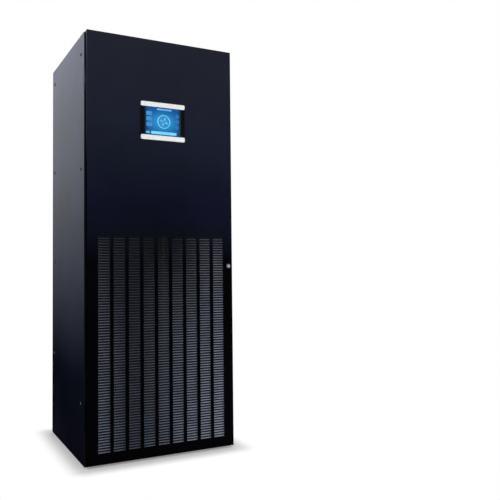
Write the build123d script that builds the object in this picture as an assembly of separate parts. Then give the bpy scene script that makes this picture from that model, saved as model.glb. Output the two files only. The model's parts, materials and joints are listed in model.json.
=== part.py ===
"""Floor-standing computer room air conditioner, top discharge, hinged full-height front door.

Frame: millimetres, +Z up, the door faces -Y, origin on the floor below the cabinet's centre.
"""
import os

from build123d import *

os.makedirs("parts", exist_ok=True)

# Overall cabinet
W, D, H = 700.0, 650.0, 1850.0
X1 = W / 2                      # outer face of a side panel
FRONT, REAR = -D / 2, D / 2     # door face, rear face

# Door leaf
DOOR_T = 24.0
DOOR_GAP = 8.0
DOOR_X = X1 - 4.0               # half width of the leaf
DOOR_Z0, DOOR_Z1 = 10.0, H
SKIN_T = 1.5
EDGE_W = 44.0                   # width of the folded edge channels
INNER_DOOR_X = DOOR_X - EDGE_W
DOOR_BACK = FRONT + DOOR_T
SKIN_BACK = FRONT + SKIN_T
CAB = DOOR_BACK + DOOR_GAP      # front plane of the cabinet frame

# Grille: nine windows in the skin, one louvre panel behind them
COLS, ROWS = 9, 80
GRILLE_X = DOOR_X - 48.0        # half width over the windows
RIB_W = 15.2
COL_W = (2 * GRILLE_X - (COLS - 1) * RIB_W) / COLS
GRILLE_Z0 = 58.0
GRILLE_Z1 = GRILLE_Z0 + 0.493 * H
ROW_P = (GRILLE_Z1 - GRILLE_Z0) / ROWS
LAND = 0.53 * ROW_P             # upright face of a slat

# Display on the door
DISP_W, DISP_H = 210.0, 169.0
DISP_Z0 = H - 450.0
BAR_H = 21.0
SCREEN_W, SCREEN_H = DISP_W - 34.0, DISP_H - 2 * BAR_H - 3.0

# Lock
LOCK_X, LOCK_Z = DOOR_X - 21.0, H - 1012.0
CORE_R = 6.0
NECK = 8.5                      # half width of the square neck
RUN = 0.05                      # radial running clearance
CLEAR = 5.0                     # clearance of moving pieces
CAM_W, CAM_L, CAM_T = 16.0, 30.0, 3.0

# Hinges
AXIS_X = -X1
AXIS_Y = (DOOR_BACK + CAB) / 2
KNUCKLE_R, PIN_R = 3.0, 1.5
LEAF_T = 2.5
HINGE_H = 112.0
HINGE_Z = (150.0, H - 150.0 - HINGE_H)

# Cabinet frame
SHEET = 2.0
POST_W, POST_D = 60.0, 40.0
BASE_H, BASE_T = 60.0, 3.0
INNER_X = X1 - SHEET            # inner face of the side panels
POST_X = INNER_X - POST_W       # inner face of the posts
PANEL_BACK = REAR - SHEET       # inner face of the rear panel
REAR_POST = PANEL_BACK - POST_D
FRONT_POST = CAB + POST_D
FOLD = 20.0                     # fold of a side panel round the rear corner
TOP = H - SHEET                 # underside of the top panel
ANCHOR_X = INNER_X - 30.0
ANCHOR_Y = (REAR_POST - FRONT_POST) / 2 - 48.0
ANCHOR_R = 7.0

# Filter bay and upper compartment
RAIL_D = 48.0
RAIL_Z1 = GRILLE_Z1 + 40.0
FILTER_T = 44.0
MULLION = 9.0                   # half width
FILTER_Z0 = BASE_H + SKIN_T
FILTER_Z1 = RAIL_Z1 - SKIN_T - 14.0
COVER_Z1 = TOP - 44.0

# Fan section
IMPELLER_R = W * 2 / 7
THROAT_R = 0.59 * IMPELLER_R
FAN_Y = REAR_POST - IMPELLER_R - 3.0
DECK_Z = H - 450.0
DECK_HOLE = THROAT_R + 20.0
BACK_Z = DECK_Z + 150.0
MOTOR_R = 0.39 * IMPELLER_R
MOTOR_Z1 = DECK_Z + 240.0
LEG_X, STRAP = IMPELLER_R + 26.0, 5.0
PARTITION = FAN_Y - IMPELLER_R - 32.0

# Duct connection on top
DUCT_X, DUCT_Y = IMPELLER_R + 30.0, IMPELLER_R - 20.0   # half sizes of the opening
FLANGE = 30.0
UPSTAND = 28.0
BOLT_IN = 14.0
BOLT_R = 4.5
GUARD_T = 3.0

# Entries low on the rear: x, bore radius, radius of the grommet's body
ENTRY_Z = 180.0
SERVICE_Z1 = 300.0
PIPES = ((-90.0, 14.2, 20.0), (-10.0, 8.2, 13.0))
GLAND_X, GLAND_R, CABLE_R = 110.0, 10.0, 7.0


def block(x0, x1, y0, y1, z0, z1):
    """Box between two corners."""
    corner = (Align.MIN, Align.MIN, Align.MIN)
    return Pos(x0, y0, z0) * Box(x1 - x0, y1 - y0, z1 - z0, align=corner)


def rod_z(r, x, y, z0, z1):
    """Upright cylinder."""
    return Pos(x, y, (z0 + z1) / 2) * Cylinder(r, z1 - z0)


def rod_y(r, x, z, y0, y1):
    """Cylinder that runs front to back."""
    return Pos(x, (y0 + y1) / 2, z) * Rot(90, 0, 0) * Cylinder(r, y1 - y0)


def mirror_x(shape):
    return mirror(shape, about=Plane.YZ)


def several(solids):
    """One shape from separate solids that don't touch."""
    return Compound(children=[Solid(s.solid().wrapped) for s in solids])


def pair(shape):
    """The shape and its mirror image across the cabinet's middle."""
    return several([shape, mirror_x(shape)])


def upright_edges(shape, y):
    """Edges along Z that lie on the plane of the given y."""
    return shape.edges().filter_by(Axis.Z).filter_by_position(Axis.Y, y - 0.01, y + 0.01)


def turned(profile):
    """Body of revolution about the fan's axis from (radius, height) points."""
    face = make_face(Polyline(*[(r, 0, z) for r, z in profile], close=True))
    return Pos(0, FAN_Y, 0) * revolve(face, Axis.Z)


# Cabinet frame

def base_rail_cross(rear):
    """Channel across the front or the rear foot of the cabinet, open to the inside."""
    y0, y1 = (REAR_POST, PANEL_BACK) if rear else (CAB, FRONT_POST)
    w0, w1 = (y0, y1 - BASE_T) if rear else (y0 + BASE_T, y1)
    outer = block(-INNER_X, INNER_X, y0, y1, 0, BASE_H)
    return outer - block(-INNER_X, INNER_X, w0, w1, BASE_T, BASE_H - BASE_T)


def base_rail_side():
    """Channel along the right foot; its wide lower flange takes the anchor bolts."""
    x0 = INNER_X - 40.0
    rail = block(x0, INNER_X, FRONT_POST, REAR_POST, 0, BASE_T)
    rail += block(INNER_X - BASE_T, INNER_X, FRONT_POST, REAR_POST, 0, BASE_H)
    rail += block(INNER_X - 20, INNER_X, FRONT_POST, REAR_POST, BASE_H - BASE_T, BASE_H)
    mid = (FRONT_POST + REAR_POST) / 2
    for y in (mid - ANCHOR_Y, mid + ANCHOR_Y):
        rail -= rod_z(ANCHOR_R, ANCHOR_X, y, -1, BASE_T + 1)
    return rail


def post(y0, strike):
    """Tubular post at a right-hand corner; the strike slot lets the lock's cam through."""
    tube = block(POST_X, INNER_X, y0, y0 + POST_D, BASE_H, TOP)
    inner = POST_X + SHEET, INNER_X - SHEET, y0 + SHEET, y0 + POST_D - SHEET
    tube -= block(*inner, BASE_H, TOP)
    if strike:
        half = CAM_W / 2 + CLEAR
        tube -= block(LOCK_X - half, LOCK_X + half, y0 - 1, y0 + SHEET + 1,
                      LOCK_Z - CAM_L - CLEAR, LOCK_Z + half)
    return tube


def top_rail(y0):
    tube = block(-POST_X, POST_X, y0, y0 + POST_D, TOP - 40, TOP)
    return tube - block(-POST_X, POST_X, y0 + SHEET, y0 + POST_D - SHEET,
                        TOP - 40 + SHEET, TOP - SHEET)


def side_panel():
    """Right side panel with a fold round the rear corner."""
    panel = block(INNER_X, X1, CAB, REAR, 4, H)
    panel += block(X1 - FOLD, X1, PANEL_BACK, REAR, 4, H)
    return panel


def rear_panel():
    return block(-X1 + FOLD, X1 - FOLD, PANEL_BACK, REAR, SERVICE_Z1, TOP)


def service_plate():
    """Lower rear plate with two pipe holes and one cable hole."""
    plate = block(-X1 + FOLD, X1 - FOLD, PANEL_BACK, REAR, 4, SERVICE_Z1)
    for x, _, body in PIPES:
        plate -= rod_y(body, x, ENTRY_Z, PANEL_BACK - 1, REAR + 1)
    return plate - rod_y(GLAND_R, GLAND_X, ENTRY_Z, PANEL_BACK - 1, REAR + 1)


def grommet(x, bore, body):
    """Rubber sleeve through the plate's hole."""
    ring = rod_y(body, x, ENTRY_Z, PANEL_BACK - 3, REAR + 3)
    return ring - rod_y(bore, x, ENTRY_Z, PANEL_BACK - 4, REAR + 4)


def cable_gland():
    """Gland with a hexagon outside, a round cap nut and a lock nut inside."""
    body = rod_y(GLAND_R, GLAND_X, ENTRY_Z, PANEL_BACK - 6, REAR + 14)
    for y, long in ((REAR + 6, 6), (PANEL_BACK, 4)):
        body += Pos(GLAND_X, y, ENTRY_Z) * Rot(90, 0, 0) * extrude(RegularPolygon(15, 6), long)
    return body - rod_y(CABLE_R, GLAND_X, ENTRY_Z, PANEL_BACK - 7, REAR + 15)


# Duct connection

def bolt_holes(z0, z1):
    holes = []
    for sx in (-1, 1):
        for sy in (-1, 1):
            x = sx * (DUCT_X + FLANGE - BOLT_IN)
            y = FAN_Y + sy * (DUCT_Y + FLANGE - BOLT_IN)
            holes.append(rod_z(BOLT_R, x, y, z0, z1))
    return holes


def duct_block(margin, z0, z1):
    """Block of the duct opening's outline, grown by a margin."""
    return block(-DUCT_X - margin, DUCT_X + margin, FAN_Y - DUCT_Y - margin,
                 FAN_Y + DUCT_Y + margin, z0, z1)


def top_panel():
    panel = block(-INNER_X, INNER_X, CAB, PANEL_BACK, TOP, H)
    panel -= duct_block(0, TOP - 1, H + 1)
    return panel - bolt_holes(TOP - 1, H + 1)


def discharge_collar():
    """Bolted flange with an upstand that a duct slides over."""
    collar = duct_block(FLANGE, H, H + SHEET) + duct_block(SHEET, H, H + UPSTAND)
    collar -= duct_block(0, H - 1, H + UPSTAND + 1)
    return collar - bolt_holes(H - 1, H + SHEET + 1)


def guard_rim():
    """Flat rim under the opening, against the top panel."""
    return duct_block(8, TOP - GUARD_T, TOP) - duct_block(-12, TOP - GUARD_T - 1, TOP + 1)


def guard_bars():
    """Parallel guard bars, let into the rim."""
    pitch, half = 40.0, 2.0
    last = int((DUCT_X - 20) / pitch)
    y = DUCT_Y - 12 - 0.3
    return several([block(i * pitch - half, i * pitch + half, FAN_Y - y, FAN_Y + y,
                          TOP - GUARD_T, TOP) for i in range(-last, last + 1)])


# Fan section

def fan_deck():
    deck = block(-INNER_X, INNER_X, PARTITION + SHEET, REAR_POST, DECK_Z - SHEET, DECK_Z)
    return deck - rod_z(DECK_HOLE, 0, FAN_Y, DECK_Z - 3, DECK_Z + 1)


def inlet_ring():
    """Inlet cone on the deck: flange, taper, throat."""
    top = DECK_Z + 46
    rim = DECK_HOLE + 27
    return turned([(DECK_HOLE, DECK_Z), (THROAT_R, DECK_Z + 24), (THROAT_R, top),
                   (THROAT_R + SHEET, top), (THROAT_R + SHEET, DECK_Z + 25),
                   (DECK_HOLE + SHEET, DECK_Z + SHEET), (rim, DECK_Z + SHEET), (rim, DECK_Z)])


def fan_impeller():
    """Seven backward-inclined blades between a conical shroud and a back plate with its hub."""
    z_in, z_low, z_rim = DECK_Z + 40, DECK_Z + 62, DECK_Z + 76
    eye = THROAT_R + 7
    wheel = turned([(0, BACK_Z), (0, BACK_Z + 10), (26, BACK_Z + 10), (26, BACK_Z + 3),
                    (IMPELLER_R, BACK_Z + 3), (IMPELLER_R, BACK_Z)])
    wheel += turned([(eye, z_in), (eye, z_low + 2), (IMPELLER_R, z_rim + 2.5),
                     (IMPELLER_R, z_rim), (eye + 2, z_low), (eye + 2, z_in)])
    below = turned([(0, z_in - 10), (0, z_low + 1), (eye, z_low + 1), (IMPELLER_R, z_rim + 1),
                    (IMPELLER_R, z_in - 10)])
    blade = block(0, 1.15 * (IMPELLER_R - eye), -1.25, 1.25, z_in, BACK_Z + 1)
    blade = Pos(eye + 8, FAN_Y, 0) * Rot(0, 0, -48) * blade - below
    for i in range(7):
        wheel += Pos(0, FAN_Y, 0) * Rot(0, 0, 360 / 7 * i) * Pos(0, -FAN_Y, 0) * blade
    return wheel


def fan_motor():
    """Round motor above the wheel."""
    z0 = BACK_Z + 10
    return turned([(0, z0), (0, MOTOR_Z1), (MOTOR_R - 6, MOTOR_Z1), (MOTOR_R, MOTOR_Z1 - 6),
                   (MOTOR_R, z0)])


def motor_beam():
    """Beam that hangs the motor between the two legs, its edges folded up."""
    x, y = LEG_X + STRAP, 30.0
    beam = block(-x, x, FAN_Y - y, FAN_Y + y, MOTOR_Z1, MOTOR_Z1 + 25)
    return beam - block(-x, x, FAN_Y - y + 3, FAN_Y + y - 3, MOTOR_Z1 + 3, MOTOR_Z1 + 26)


def motor_legs():
    """Two legs with a foot on the deck and a shelf under the beam."""
    y0, y1 = FAN_Y - 30, FAN_Y + 30
    leg = block(LEG_X, LEG_X + STRAP, y0, y1, DECK_Z, MOTOR_Z1)
    leg += block(LEG_X, LEG_X + 35, y0, y1, DECK_Z, DECK_Z + STRAP)
    return pair(leg)


# Front bay behind the door

def filter_rail(top):
    """Channel that holds the filters' lower or upper ends."""
    wall = 15.0 if not top else 35.0
    z0, z1 = (RAIL_Z1 - wall, RAIL_Z1) if top else (BASE_H, BASE_H + wall)
    rail = block(-POST_X, POST_X, CAB + SHEET, CAB + SHEET + RAIL_D, z0, z1)
    cut = (z0, z1 - SKIN_T) if top else (z0 + SKIN_T, z1)
    return rail - block(-POST_X, POST_X, CAB + SHEET + SKIN_T,
                        CAB + SHEET + RAIL_D - SKIN_T, *cut)


def filter_mullion():
    """Channel between the two filters, open to the rear."""
    y0 = CAB + SHEET + SKIN_T
    y1 = y0 + RAIL_D - 2 * SKIN_T
    bar = block(-MULLION, MULLION, y0, y1, FILTER_Z0, RAIL_Z1 - SKIN_T)
    return bar - block(-MULLION + SKIN_T, MULLION - SKIN_T, y0 + SKIN_T, y1,
                       FILTER_Z0, RAIL_Z1 - SKIN_T)


def air_filter():
    """Right-hand filter: a flanged frame with a pleated pad."""
    x0, x1 = MULLION + 0.3, POST_X - 0.3
    y0 = CAB + SHEET + SKIN_T + 0.3
    y1 = y0 + FILTER_T
    rim, lip = 2.0, 12.0
    frame = block(x0, x1, y0, y1, FILTER_Z0, FILTER_Z1)
    frame -= block(x0 + lip, x1 - lip, y0 - 1, y1 + 1, FILTER_Z0 + lip, FILTER_Z1 - lip)
    frame -= block(x0 + rim, x1 - rim, y0 + rim, y1 - rim, FILTER_Z0 + rim, FILTER_Z1 - rim)
    pleats = 18
    step = (x1 - x0 - 2 * rim) / (2 * pleats)
    near, far = y0 + 4, y1 - 8
    front = [(x0 + rim + i * step, near if i % 2 else far) for i in range(2 * pleats + 1)]
    back = [(x, y + 4) for x, y in reversed(front)]
    pad = extrude(make_face(Polyline(*front, *back, close=True)), FILTER_Z1 - FILTER_Z0 - rim)
    return frame + Pos(0, 0, FILTER_Z0 + rim / 2) * pad


def electrical_cover():
    """Flat inner cover over the upper compartment, lapping the posts."""
    x = POST_X + 9
    cover = block(-x, x, CAB - SHEET, CAB, RAIL_Z1 + SHEET, COVER_Z1)
    return fillet(cover.edges().filter_by(Axis.Y), 6)


def partition():
    """Upright sheet between the electrical compartment and the fan section."""
    return block(-INNER_X, INNER_X, PARTITION, PARTITION + SHEET, RAIL_Z1 + SHEET, TOP - 1)


# Door

def grille_columns():
    for i in range(COLS):
        x0 = -GRILLE_X + i * (COL_W + RIB_W)
        yield x0, x0 + COL_W


def door_skin():
    """Face sheet with nine tall windows, the display cut-out and the lock hole."""
    skin = block(-DOOR_X, DOOR_X, FRONT, SKIN_BACK, DOOR_Z0, DOOR_Z1)
    skin = fillet(upright_edges(skin, FRONT), 1.3)
    for x0, x1 in grille_columns():
        skin -= block(x0, x1, FRONT - 1, SKIN_BACK + 1, GRILLE_Z0, GRILLE_Z1)
    x, z = DISP_W / 2 - 7, 7.0
    skin -= block(-x, x, FRONT - 1, SKIN_BACK + 1, DISP_Z0 + z, DISP_Z0 + DISP_H - z)
    return skin - lock_barrel(FRONT - 1, SKIN_BACK + 1)


def lock_barrel(y0, y1):
    """Square neck that keeps the lock's housing from turning in the door."""
    return block(LOCK_X - NECK, LOCK_X + NECK, y0, y1, LOCK_Z - NECK, LOCK_Z + NECK)


def door_edge_side():
    """Folded channel along the lock side, behind the skin, closed at both ends."""
    edge = block(INNER_DOOR_X, DOOR_X, SKIN_BACK, DOOR_BACK, DOOR_Z0, DOOR_Z1)
    return edge - block(INNER_DOOR_X, DOOR_X - SKIN_T, SKIN_BACK + SKIN_T, DOOR_BACK - SKIN_T,
                        DOOR_Z0 + SKIN_T, DOOR_Z1 - SKIN_T)


def door_edge_lock():
    """Lock-side channel with the neck's hole and a service window behind the lock."""
    edge = door_edge_side() - lock_barrel(FRONT, SKIN_BACK + 3)
    return edge - block(LOCK_X - 13, LOCK_X + 13, DOOR_BACK - 3, DOOR_BACK + 1,
                        LOCK_Z - 25, LOCK_Z + 25)


def door_edge_level(top):
    """Folded channel along the door's top or bottom."""
    x = INNER_DOOR_X
    z0, z1 = (DOOR_Z1 - EDGE_W, DOOR_Z1) if top else (DOOR_Z0, DOOR_Z0 + EDGE_W)
    cut = (z0, z1 - SKIN_T) if top else (z0 + SKIN_T, z1)
    edge = block(-x, x, SKIN_BACK, DOOR_BACK, z0, z1)
    return edge - block(-x, x, SKIN_BACK + SKIN_T, DOOR_BACK - SKIN_T, *cut)


def door_rail_middle():
    """Stiffening channel above the grille."""
    x = INNER_DOOR_X
    z0 = GRILLE_Z1 + 18
    rail = block(-x, x, SKIN_BACK, DOOR_BACK - 2, z0, z0 + 26)
    return rail - block(-x, x, SKIN_BACK + SKIN_T, DOOR_BACK - 1, z0 + SKIN_T,
                        z0 + 26 - SKIN_T)


def louvre_panel():
    """Eighty folded slats: an upright land and a lip that rises to the rear."""
    t, depth, rise = 1.2, 6.0, 3.2
    x0, x1 = GRILLE_X + 1, INNER_DOOR_X - 0.3
    y = SKIN_BACK
    low, top = GRILLE_Z0 - 3.7, GRILLE_Z1
    panel = block(x0, x1, y, y + t, low, top + 12)
    panel += block(x1 - t, x1, y, y + 12, low, top + 12)
    panel += mirror_x(panel)
    panel += block(-x0, x0, y, y + t, top - LAND, top + 12)
    slat = make_face(Polyline((0, y, 0), (0, y, LAND), (0, y + t + depth, LAND + rise),
                              (0, y + t + depth, LAND + rise - t), (0, y + t, LAND - t),
                              (0, y + t, 0), close=True))
    slat = extrude(slat, x0, dir=(1, 0, 0), both=True)
    slats = [Pos(0, 0, GRILLE_Z0 - LAND + i * ROW_P) * slat for i in range(ROWS)]
    slats[0] = slats[0] & block(-x0, x0, y, y + 12, low, top)
    return panel + slats


def door_seal():
    """Four foam strips on the door's back, 0.4 mm short of the cabinet frame."""
    x, w = INNER_DOOR_X, 8.0
    y0, y1 = DOOR_BACK, CAB - 0.4
    low, high = DOOR_Z0 + EDGE_W - 10, DOOR_Z1 - EDGE_W + 12
    right = block(x, x + w, y0, y1, low, high)
    strips = [right, mirror_x(right)]
    for z0 in (low, high - w):
        strips.append(block(-x + 0.3, x - 0.3, y0, y1, z0, z0 + w))
    return several(strips)


def display_housing():
    """Rear box of the display, through the skin's cut-out."""
    x, z = DISP_W / 2 - 7.5, 7.5
    return block(-x, x, FRONT, DOOR_BACK - 2, DISP_Z0 + z, DISP_Z0 + DISP_H - z)


def display_bezel():
    """Black frame between the two bars."""
    x, z0, z1 = DISP_W / 2, DISP_Z0 + BAR_H, DISP_Z0 + DISP_H - BAR_H
    bezel = block(-x, x, FRONT - 4, FRONT, z0, z1)
    mid = (z0 + z1) / 2
    half = SCREEN_H / 2 + 0.3
    return bezel - block(-SCREEN_W / 2 - 0.3, SCREEN_W / 2 + 0.3, FRONT - 5, FRONT + 1,
                         mid - half, mid + half)


def display_screen():
    mid = DISP_Z0 + DISP_H / 2
    return block(-SCREEN_W / 2, SCREEN_W / 2, FRONT - 3, FRONT, mid - SCREEN_H / 2,
                 mid + SCREEN_H / 2)


def display_bar(z0):
    """White end bar with rounded ends and a softened face."""
    bar = block(-DISP_W / 2, DISP_W / 2, FRONT - 7, FRONT, z0, z0 + BAR_H)
    bar = fillet(bar.edges().filter_by(Axis.Y), 5)
    return chamfer(bar.faces().sort_by(Axis.Y)[0].edges(), 1.5)


# Lock and hinges

def lock_housing():
    """Round escutcheon on a square neck, fixed in the door."""
    body = chamfer(rod_y(12, LOCK_X, LOCK_Z, FRONT - 4, FRONT).edges().sort_by(Axis.Y)[0], 1)
    body += lock_barrel(FRONT, DOOR_BACK)
    return body - rod_y(CORE_R + RUN, LOCK_X, LOCK_Z, FRONT - 5, DOOR_BACK + 1)


CAM_Y = CAB + SHEET + CLEAR


def lock_tail(y0, y1):
    """Square tail that turns the cam."""
    return block(LOCK_X - 3.5, LOCK_X + 3.5, y0, y1, LOCK_Z - 3.5, LOCK_Z + 3.5)


def lock_core():
    """Turning core with a key slot in front and the square tail behind."""
    core = rod_y(CORE_R, LOCK_X, LOCK_Z, FRONT - 4.5, CAM_Y)
    core -= block(LOCK_X - 1, LOCK_X + 1, FRONT - 5, FRONT + 1, LOCK_Z - 3.5, LOCK_Z + 3.5)
    return core + lock_tail(CAM_Y, CAM_Y + CAM_T + 3)


def lock_cam():
    """Flat cam that hangs down through the strike slot when unlocked."""
    cam = block(LOCK_X - CAM_W / 2, LOCK_X + CAM_W / 2, CAM_Y, CAM_Y + CAM_T,
                LOCK_Z - CAM_L, LOCK_Z)
    cam += rod_y(CAM_W / 2, LOCK_X, LOCK_Z, CAM_Y, CAM_Y + CAM_T)
    return cam - lock_tail(CAM_Y - 1, CAM_Y + CAM_T + 1)


def hinge_fixed(z0):
    """Cabinet leaf, its two knuckles and the pin."""
    third = HINGE_H / 3
    leaf = block(-DOOR_X, -DOOR_X + 28, CAB - LEAF_T, CAB, z0, z0 + HINGE_H)
    leaf += rod_z(PIN_R, AXIS_X, AXIS_Y, z0, z0 + HINGE_H)
    for a, b in ((z0, z0 + third - 0.3), (z0 + 2 * third + 0.3, z0 + HINGE_H)):
        leaf += rod_z(KNUCKLE_R, AXIS_X, AXIS_Y, a, b)
        leaf += block(AXIS_X, -DOOR_X, CAB - LEAF_T, AXIS_Y + KNUCKLE_R, a, b)
    return leaf


def hinge_door(z0):
    """Door leaf with the middle knuckle."""
    third = HINGE_H / 3
    a, b = z0 + third + 0.3, z0 + 2 * third - 0.3
    leaf = block(-DOOR_X, -DOOR_X + 28, DOOR_BACK, DOOR_BACK + LEAF_T, z0, z0 + HINGE_H)
    leaf += rod_z(KNUCKLE_R, AXIS_X, AXIS_Y, a, b)
    leaf += block(AXIS_X, -DOOR_X, AXIS_Y - KNUCKLE_R, DOOR_BACK + LEAF_T, a, b)
    return leaf - rod_z(PIN_R + RUN, AXIS_X, AXIS_Y, a - 1, b + 1)


parts = {
    "base_rail_front": base_rail_cross(False),
    "base_rail_rear": base_rail_cross(True),
    "base_rail_right": base_rail_side(),
    "base_rail_left": mirror_x(base_rail_side()),
    "floor_pan": block(-INNER_X, INNER_X, CAB + SHEET + RAIL_D, REAR_POST, BASE_H,
                       BASE_H + SHEET),
    "post_front_right": post(CAB, True),
    "post_front_left": mirror_x(post(CAB, False)),
    "post_rear_right": post(REAR_POST, False),
    "post_rear_left": mirror_x(post(REAR_POST, False)),
    "top_rail_front": top_rail(CAB),
    "top_rail_rear": top_rail(REAR_POST),
    "top_panel": top_panel(),
    "discharge_collar": discharge_collar(),
    "guard_rim": guard_rim(),
    "guard_bars": guard_bars(),
    "side_panel_right": side_panel(),
    "side_panel_left": mirror_x(side_panel()),
    "rear_panel": rear_panel(),
    "service_plate": service_plate(),
    "pipe_grommets": several([grommet(*p) for p in PIPES]),
    "cable_gland": cable_gland(),
    "fan_deck": fan_deck(),
    "inlet_ring": inlet_ring(),
    "fan_impeller": fan_impeller(),
    "fan_motor": fan_motor(),
    "motor_beam": motor_beam(),
    "motor_legs": motor_legs(),
    "filter_rail_bottom": filter_rail(False),
    "filter_rail_top": filter_rail(True),
    "filter_mullion": filter_mullion(),
    "air_filter_right": air_filter(),
    "air_filter_left": mirror_x(air_filter()),
    "electrical_cover": electrical_cover(),
    "partition": partition(),
    "hinge_fixed_lower": hinge_fixed(HINGE_Z[0]),
    "hinge_fixed_upper": hinge_fixed(HINGE_Z[1]),
    "door_skin": door_skin(),
    "door_edge_lock": door_edge_lock(),
    "door_edge_hinge": mirror_x(door_edge_side()),
    "door_edge_top": door_edge_level(True),
    "door_edge_bottom": door_edge_level(False),
    "door_rail_middle": door_rail_middle(),
    "louvre_panel": louvre_panel(),
    "door_seal": door_seal(),
    "display_housing": display_housing(),
    "display_bezel": display_bezel(),
    "display_screen": display_screen(),
    "display_bar_upper": display_bar(DISP_Z0 + DISP_H - BAR_H),
    "display_bar_lower": display_bar(DISP_Z0),
    "hinge_door_lower": hinge_door(HINGE_Z[0]),
    "hinge_door_upper": hinge_door(HINGE_Z[1]),
    "lock_housing": lock_housing(),
    "lock_core": lock_core(),
    "lock_cam": lock_cam(),
}

for name, shape in parts.items():
    export_step(shape, f"parts/{name}.step")
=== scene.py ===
# %% [markdown]
# A tall cooling cabinet for a computer room, dressed for its portrait.
# The solids come ready made and stay where they are: this file gives each of them its finish and adds
# the small things that a sheet-metal shop or a display designer adds last, such as screws and screen tiles.
# Everything is in metres, the door faces -Y and the floor is at zero.

# %% Load the solids
import json
import math

import bmesh
import bpy
from mathutils import Matrix, Vector


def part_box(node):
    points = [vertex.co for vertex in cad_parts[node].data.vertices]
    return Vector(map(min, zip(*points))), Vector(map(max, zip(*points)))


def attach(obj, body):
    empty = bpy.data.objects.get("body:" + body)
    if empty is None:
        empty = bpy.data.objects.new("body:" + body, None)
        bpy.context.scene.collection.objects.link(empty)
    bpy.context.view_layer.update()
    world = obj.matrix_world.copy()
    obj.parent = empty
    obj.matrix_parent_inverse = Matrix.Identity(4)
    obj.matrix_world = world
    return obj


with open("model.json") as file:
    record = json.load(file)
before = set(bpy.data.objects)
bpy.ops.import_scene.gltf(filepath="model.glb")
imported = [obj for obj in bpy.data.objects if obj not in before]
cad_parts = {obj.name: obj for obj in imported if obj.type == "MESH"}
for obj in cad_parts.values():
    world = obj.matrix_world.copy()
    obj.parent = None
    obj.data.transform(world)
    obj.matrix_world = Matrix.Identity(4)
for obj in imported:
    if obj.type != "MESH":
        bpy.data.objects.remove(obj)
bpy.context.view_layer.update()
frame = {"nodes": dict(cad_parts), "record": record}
nodes = frame["nodes"]
scene = bpy.context.scene

# %% [markdown]
# The camera stands low, a little to the left of the door, and looks slightly up.
# It could be tried by eye, but the cabinet's upright edges and their ends give enough lines to solve for
# the place, the turn and the lens, so those numbers are written here. The small shift of the lens keeps
# the cabinet at the left of the square frame, as a cropped photograph does.

# %% Camera
camera_place = Vector((-1.022, -2.833, 0.836))
camera_yaw, camera_pitch, camera_roll = (math.radians(a) for a in (-25.953, 2.284, -0.45))
lens_pixels, frame_pixels = 608.4, 500.0

camera_data = bpy.data.cameras.new("portrait")
camera_data.sensor_width = 36.0
camera_data.lens = lens_pixels / frame_pixels * camera_data.sensor_width
camera_data.shift_x, camera_data.shift_y = 46.4 / frame_pixels, -7.7 / frame_pixels
camera_data.clip_start, camera_data.clip_end = 0.05, 60.0
camera = bpy.data.objects.new("portrait", camera_data)
scene.collection.objects.link(camera)
camera.matrix_world = (Matrix.Translation(camera_place) @ Matrix.Rotation(camera_yaw, 4, "Z")
                       @ Matrix.Rotation(math.radians(90) + camera_pitch, 4, "X")
                       @ Matrix.Rotation(camera_roll, 4, "Z"))
scene.camera = camera
scene.view_settings.view_transform = "Standard"
print("lens", round(camera_data.lens, 1), "mm")

# %% [markdown]
# Node trees are built by code here, so a few short helpers keep the cells readable: the first adds a
# node and fills its sockets, and new_group opens a group with named inputs and outputs. A socket takes
# either a plain value or the output of another node.


# %% Helpers for node trees and new shapes
def add(tree, kind, inputs=None, **settings):
    """One shader node; an input's value is a number, a colour or another node's output."""
    node = tree.nodes.new("ShaderNode" + kind)
    for name, value in settings.items():
        setattr(node, name, value)
    for name, value in (inputs or {}).items():
        if isinstance(value, bpy.types.NodeSocket):
            tree.links.new(value, node.inputs[name])
        else:
            node.inputs[name].default_value = value
    return node


def maths(tree, operation, first, second=0.0, clamp=False):
    """Result of one sum on two numbers."""
    return add(tree, "Math", {0: first, 1: second}, operation=operation, use_clamp=clamp).outputs[0]


def ramp(tree, value, low, high, to_low=0.0, to_high=1.0):
    """Smooth step from one level to another."""
    return add(tree, "MapRange", {"Value": value, "From Min": low, "From Max": high,
                                  "To Min": to_low, "To Max": to_high},
               interpolation_type="SMOOTHSTEP").outputs["Result"]


def blend_colour(tree, mask, under, over):
    """Two colours, mixed by a mask."""
    mix = add(tree, "Mix", {"Factor": mask}, data_type="RGBA")
    for socket, value in ((mix.inputs[6], under), (mix.inputs[7], over)):
        if isinstance(value, bpy.types.NodeSocket):
            tree.links.new(value, socket)
        else:
            socket.default_value = value
    return mix.outputs[2]


def colour(red, green, blue):
    """Colour from the 0 to 255 values read off a screen."""
    levels = [v / 255 for v in (red, green, blue)]
    return tuple(v / 12.92 if v <= 0.04045 else ((v + 0.055) / 1.055) ** 2.4 for v in levels) + (1.0,)


def new_group(name, inputs, outputs):
    """Node group with named sockets, and its input and output nodes."""
    tree = bpy.data.node_groups.new(name, "ShaderNodeTree")
    for label, kind, value in inputs:
        socket = tree.interface.new_socket(label, in_out="INPUT", socket_type="NodeSocket" + kind)
        if value is not None:
            socket.default_value = value
    for label, kind in outputs:
        tree.interface.new_socket(label, in_out="OUTPUT", socket_type="NodeSocket" + kind)
    return tree, tree.nodes.new("NodeGroupInput").outputs, tree.nodes.new("NodeGroupOutput").inputs


def sight_rays(tree):
    """One for rays from the camera, also by way of a mirror or clear glass, and nought for light."""
    path = add(tree, "LightPath").outputs
    mirrored = maths(tree, "MAXIMUM", path["Is Glossy Ray"], path["Is Transmission Ray"])
    return maths(tree, "MAXIMUM", path["Is Camera Ray"], mirrored)


def primitive(operator, **settings):
    """A fresh mesh from one of Blender's own shapes, with its place and size kept in the mesh."""
    bpy.ops.object.select_all(action="DESELECT")
    operator(**settings)
    bpy.ops.object.transform_apply(location=True, rotation=True, scale=True)
    return bpy.context.object


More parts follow.
